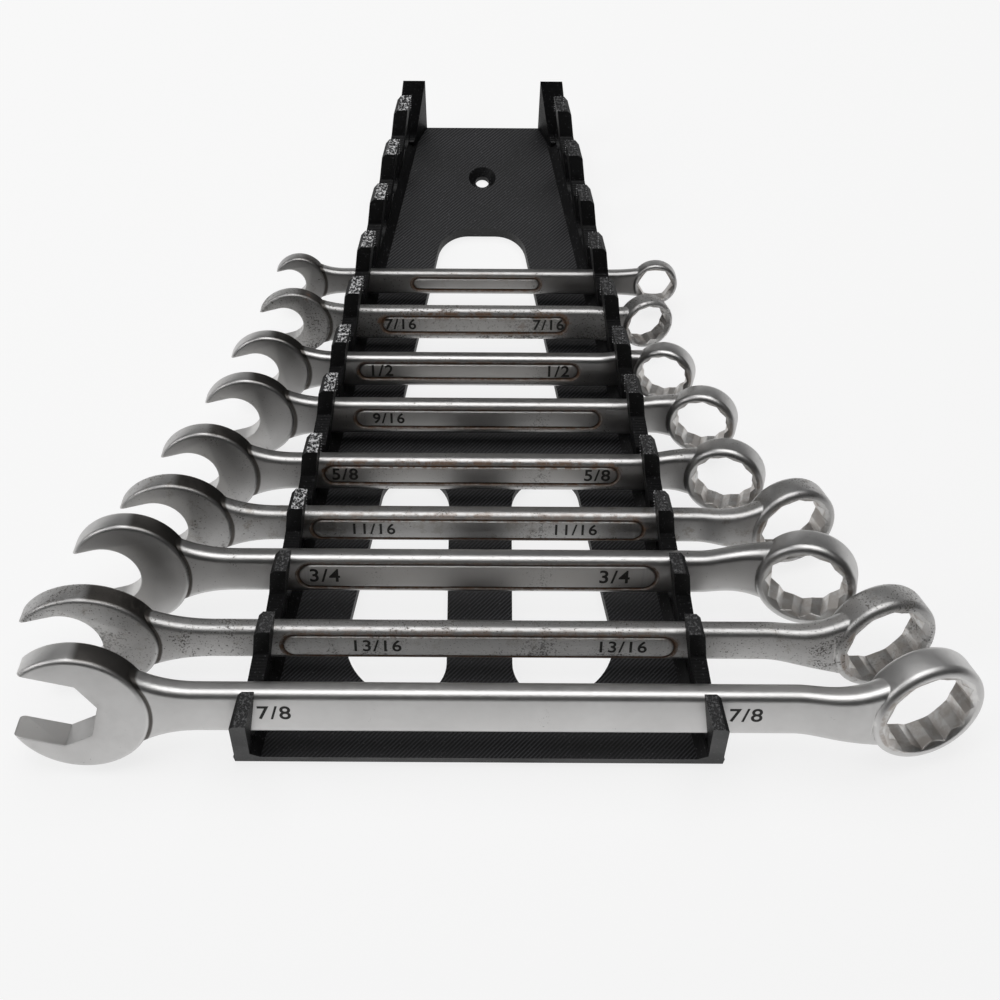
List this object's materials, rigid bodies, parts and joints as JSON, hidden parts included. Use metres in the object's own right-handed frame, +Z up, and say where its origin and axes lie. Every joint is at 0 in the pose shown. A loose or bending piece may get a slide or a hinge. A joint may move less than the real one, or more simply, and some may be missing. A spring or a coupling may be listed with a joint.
{
  "type": "wrench set with rack",
  "caption": "Combination wrenches in inch sizes, lying across a tapered black rack whose two toothed side rails hold each shaft in its own leaning slot.",
  "frame": {"origin": "underside of the rack's back plate, on the centre line, in the middle of the cross band between the windows", "axes": "+X along the wrenches to their box ends, +Y to the narrow end of the rack, +Z up off the back plate"},
  "size_m": [0.2647, 0.222, 0.0404],
  "materials": {
    "black_plastic": "black printed plastic with fine layer lines and a diagonal top fill",
    "worn_chrome": "satin chrome plate, worn, with brown grime in the flutes",
    "rusted_chrome": "chrome plate pitted and rusted along the shaft"
  },
  "bodies": {
    "root": {"rack": "black_plastic", "wrench_7_8": "worn_chrome", "wrench_13_16": "worn_chrome", "wrench_3_4": "worn_chrome", "wrench_11_16": "worn_chrome", "wrench_5_8": "worn_chrome", "wrench_9_16": "worn_chrome", "wrench_1_2": "worn_chrome", "wrench_7_16": "rusted_chrome", "wrench_3_8": "worn_chrome"}
  },
  "joints": []
}
